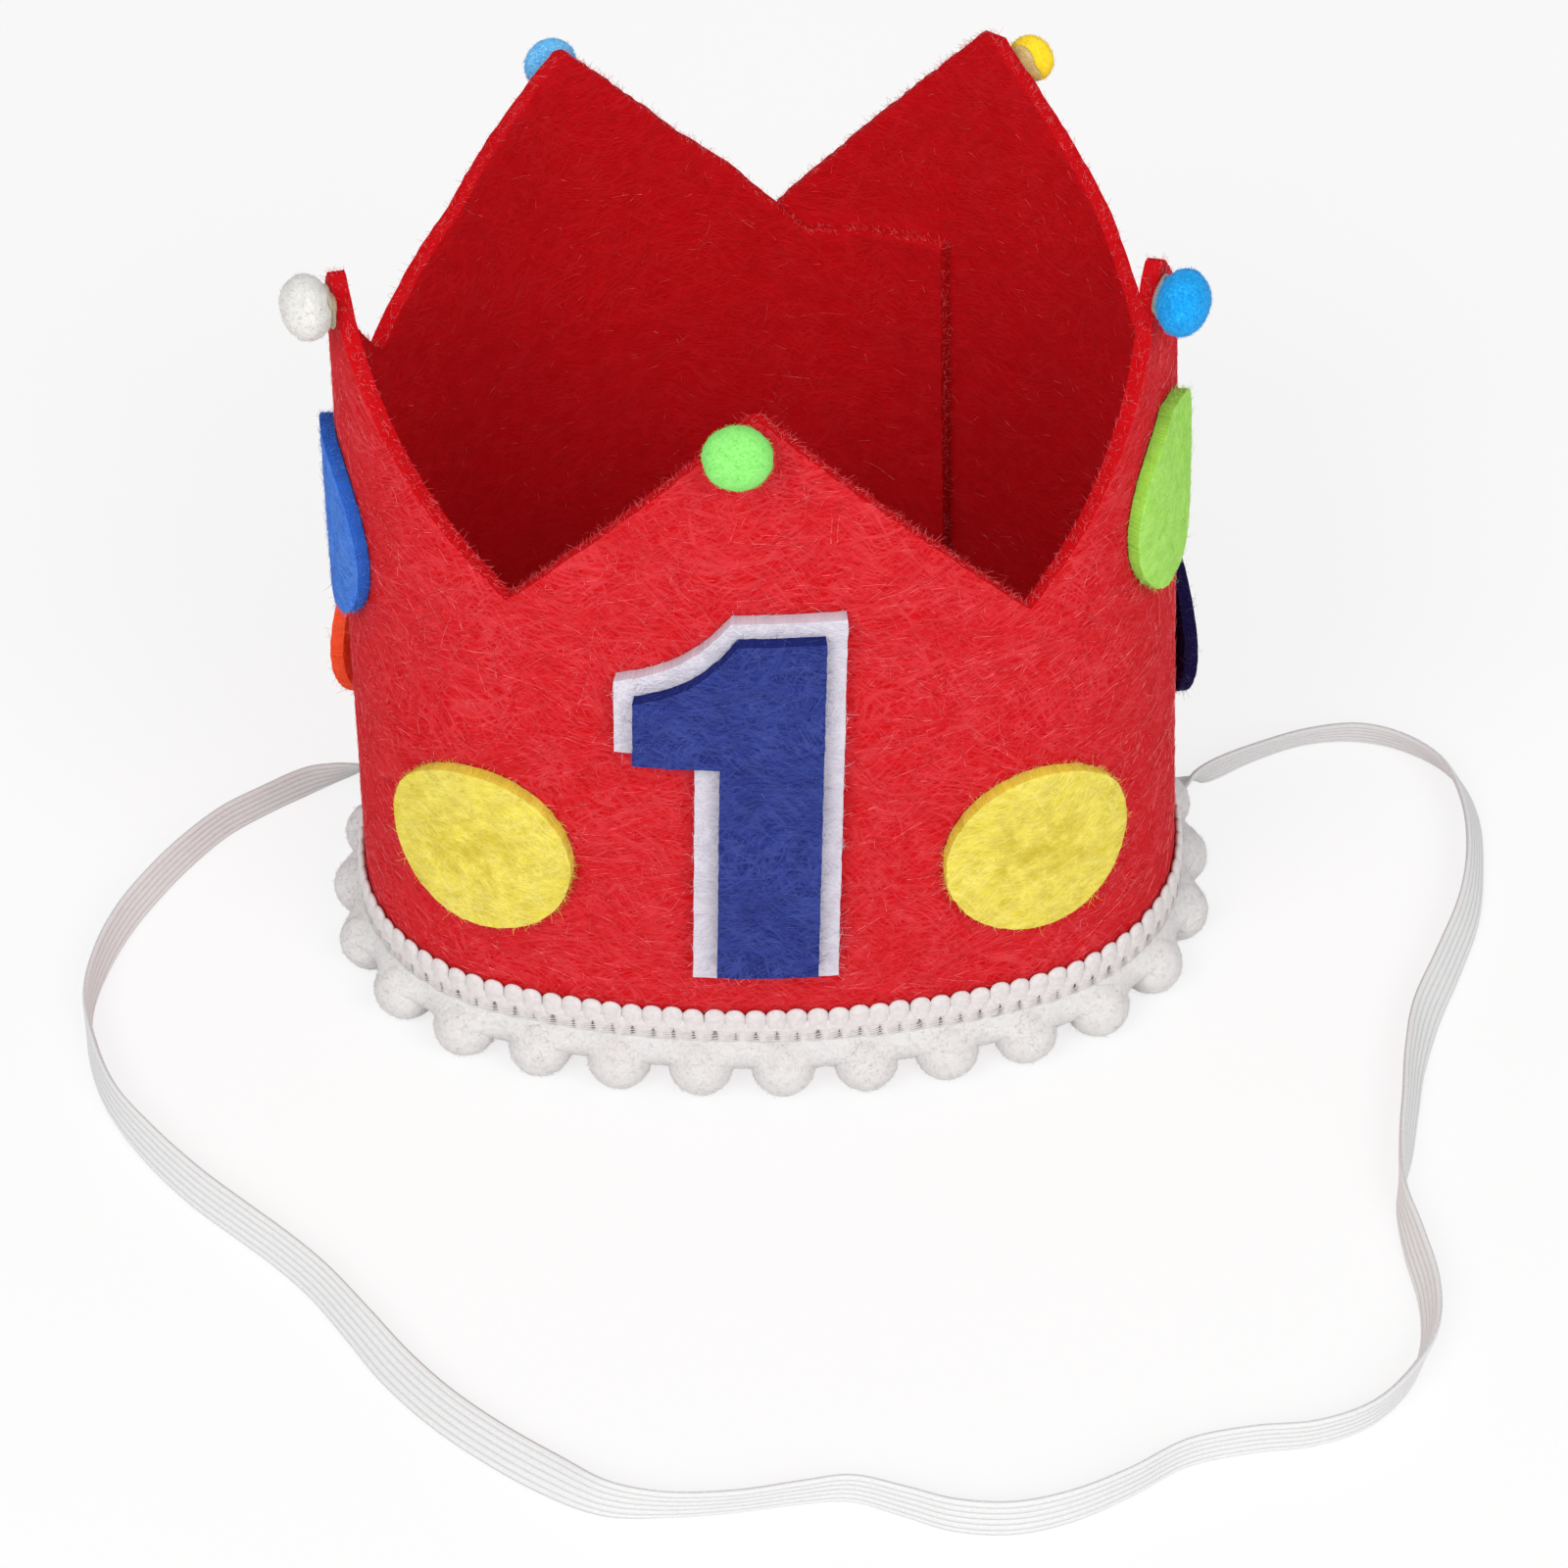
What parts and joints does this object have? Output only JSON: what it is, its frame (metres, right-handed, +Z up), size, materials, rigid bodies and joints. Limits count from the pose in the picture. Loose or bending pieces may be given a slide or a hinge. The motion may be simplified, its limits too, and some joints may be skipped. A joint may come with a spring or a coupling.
{
  "type": "party crown",
  "caption": "Toddler's felt party crown with pointed top, felt spots, a numeral, pompoms, ball-fringe trim and an elastic chin strap.",
  "frame": {"origin": "centre of the crown's ring, on the surface that the trim balls stand on", "axes": "+Z is up along the crown, -Y is the front with the numeral, +X is to the right when looking at the numeral"},
  "size_m": [0.2167, 0.1972, 0.1296],
  "materials": {
    "red_felt": "needled felt with long light fibres",
    "white_felt": "needled felt",
    "numeral_blue_felt": "needled felt",
    "yellow_felt": "needled felt",
    "blue_felt": "needled felt",
    "green_felt": "needled felt",
    "orange_felt": "needled felt",
    "navy_felt": "needled felt",
    "green_pompom": "dense fluffy pompom",
    "blue_pompom": "dense fluffy pompom",
    "white_pompom": "dense fluffy pompom",
    "sky_pompom": "dense fluffy pompom",
    "yellow_pompom": "dense fluffy pompom",
    "trim_tape": "ribbed woven tape with looped edge",
    "trim_ball": "soft fluffy ball",
    "elastic": "flat elastic, ribbed lengthwise",
    "glue": "hazy hot glue"
  },
  "bodies": {
    "root": {"felt_band": "red_felt", "numeral_backing": "white_felt", "numeral_face": "numeral_blue_felt", "trim_tape": "trim_tape", "elastic_strap": "elastic", "spot_front_left": "yellow_felt", "spot_front_right": "yellow_felt", "spot_left_point": "blue_felt", "spot_right_point": "green_felt", "spot_back_left": "orange_felt", "spot_back_right": "navy_felt", "spot_back_left_point": "green_felt", "spot_back_right_point": "blue_felt", "pompom_front": "green_pompom", "pompom_right": "blue_pompom", "pompom_left": "white_pompom", "pompom_back_left": "sky_pompom", "pompom_back_right": "yellow_pompom", "glue_front": "glue", "glue_left": "glue", "glue_right": "glue", "glue_back_left": "glue", "glue_back_right": "glue", "trim_ball_1": "trim_ball", "trim_ball_2": "trim_ball", "trim_ball_3": "trim_ball", "trim_ball_4": "trim_ball", "trim_ball_5": "trim_ball", "trim_ball_6": "trim_ball", "trim_ball_7": "trim_ball", "trim_ball_8": "trim_ball", "trim_ball_9": "trim_ball", "trim_ball_10": "trim_ball", "trim_ball_11": "trim_ball", "trim_ball_12": "trim_ball", "trim_ball_13": "trim_ball", "trim_ball_14": "trim_ball", "trim_ball_15": "trim_ball", "trim_ball_16": "trim_ball", "trim_ball_17": "trim_ball", "trim_ball_18": "trim_ball", "trim_ball_19": "trim_ball", "trim_ball_20": "trim_ball", "trim_ball_21": "trim_ball", "trim_ball_22": "trim_ball", "trim_ball_23": "trim_ball", "trim_ball_24": "trim_ball", "trim_ball_25": "trim_ball", "trim_ball_26": "trim_ball", "trim_ball_27": "trim_ball", "trim_ball_28": "trim_ball", "trim_ball_29": "trim_ball", "trim_ball_30": "trim_ball"}
  },
  "joints": []
}
